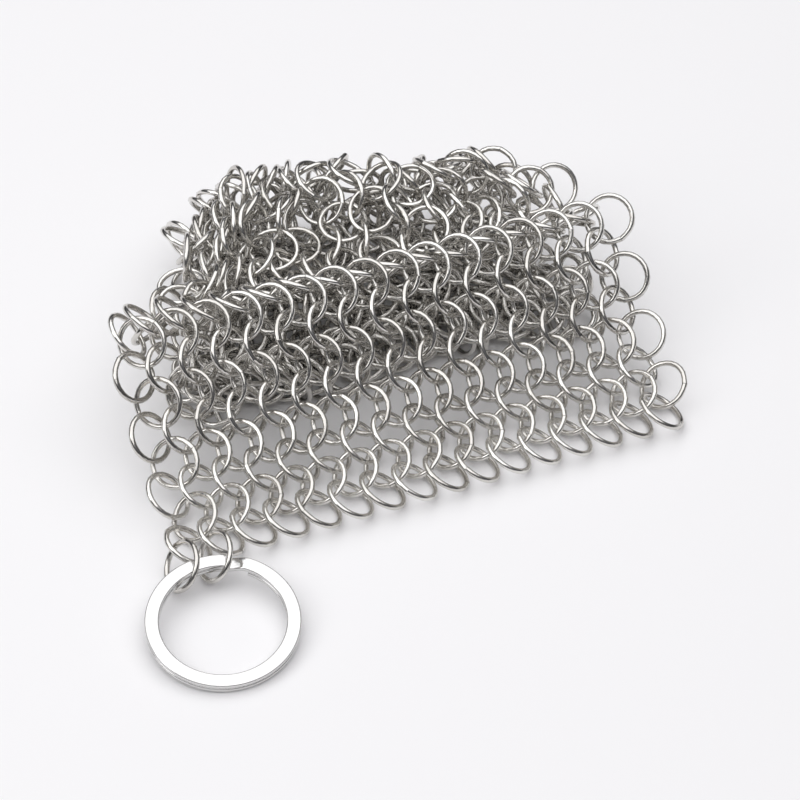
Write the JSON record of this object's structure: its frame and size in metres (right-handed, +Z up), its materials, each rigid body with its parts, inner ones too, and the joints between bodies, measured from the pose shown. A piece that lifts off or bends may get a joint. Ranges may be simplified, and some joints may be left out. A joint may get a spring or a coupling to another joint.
{
  "type": "pot scrubber",
  "caption": "Stainless steel chainmail pot scrubber: a sheet of linked round-wire rings lying in a loose heap, with a flat split ring at its corner to hang it by.",
  "frame": {"origin": "on the table, under the middle of the part's box as it lies", "axes": "+X to the right, +Y to the back and +Z up, seen from the side with the split ring in front"},
  "size_m": [0.1178, 0.139, 0.029],
  "materials": {
    "mail_steel": "tumbled, bright",
    "carrier_steel": "tumbled, bright",
    "split_ring_steel": "polished"
  },
  "bodies": {
    "heap": {"mail_row_07": "mail_steel", "mail_row_08": "mail_steel", "mail_row_09": "mail_steel", "mail_row_10": "mail_steel", "mail_row_11": "mail_steel", "mail_row_12": "mail_steel", "mail_row_13": "mail_steel", "mail_row_14": "mail_steel", "mail_row_15": "mail_steel", "mail_row_16": "mail_steel", "mail_row_17": "mail_steel", "mail_row_18": "mail_steel", "mail_row_19": "mail_steel", "mail_row_20": "mail_steel", "mail_row_21": "mail_steel", "mail_row_22": "mail_steel", "mail_row_23": "mail_steel", "mail_row_24": "mail_steel", "mail_row_25": "mail_steel", "mail_row_26": "mail_steel", "mail_row_27": "mail_steel", "mail_row_28": "mail_steel", "mail_row_29": "mail_steel", "mail_row_30": "mail_steel"},
    "row_06": {"mail_row_06": "mail_steel"},
    "row_05": {"mail_row_05": "mail_steel"},
    "row_04": {"mail_row_04": "mail_steel"},
    "row_03": {"mail_row_03": "mail_steel"},
    "row_02": {"mail_row_02": "mail_steel"},
    "hem": {"mail_row_01": "mail_steel"},
    "carriers": {"carrier_left": "carrier_steel", "carrier_right": "carrier_steel"},
    "split_ring": {"split_ring": "split_ring_steel"}
  },
  "joints": [
    {"name": "row_06_bend", "type": "hinge", "parent": "heap", "child": "row_06", "pos_m": [-0.0037, 0.01313, 0.01759], "axis": [-0.9135, -0.4067, 0], "range_deg": [0, 15]},
    {"name": "row_05_bend", "type": "hinge", "parent": "row_06", "child": "row_05", "pos_m": [-0.00208, 0.00945, 0.01323], "axis": [-0.9135, -0.4067, 0], "range_deg": [0, 15]},
    {"name": "row_04_bend", "type": "hinge", "parent": "row_05", "child": "row_04", "pos_m": [-0.00032, 0.00552, 0.00821], "axis": [-0.9135, -0.4067, 0], "range_deg": [0, 14]},
    {"name": "row_03_bend", "type": "hinge", "parent": "row_04", "child": "row_03", "pos_m": [0.00227, -0.00029, 0.00457], "axis": [-0.9135, -0.4067, 0], "range_deg": [0, 7]},
    {"name": "row_02_bend", "type": "hinge", "parent": "row_03", "child": "row_02", "pos_m": [0.00467, -0.00572, 0.00318], "axis": [-0.9135, -0.4067, 0], "range_deg": [0, 10]},
    {"name": "hem_bend", "type": "hinge", "parent": "row_02", "child": "hem", "pos_m": [0.0072, -0.0114, 0.00342], "axis": [-0.9135, -0.4067, 0], "range_deg": [0, 15]},
    {"name": "carrier_swing", "type": "hinge", "parent": "hem", "child": "carriers", "pos_m": [-0.03753, -0.04009, 0.00348], "axis": [-0.9135, -0.4067, 0], "range_deg": [0, 14]},
    {"name": "split_ring_swing", "type": "hinge", "parent": "carriers", "child": "split_ring", "pos_m": [-0.0362, -0.04272, 0.0046], "axis": [-0.9135, -0.4067, 0], "range_deg": [0, 80]}
  ]
}
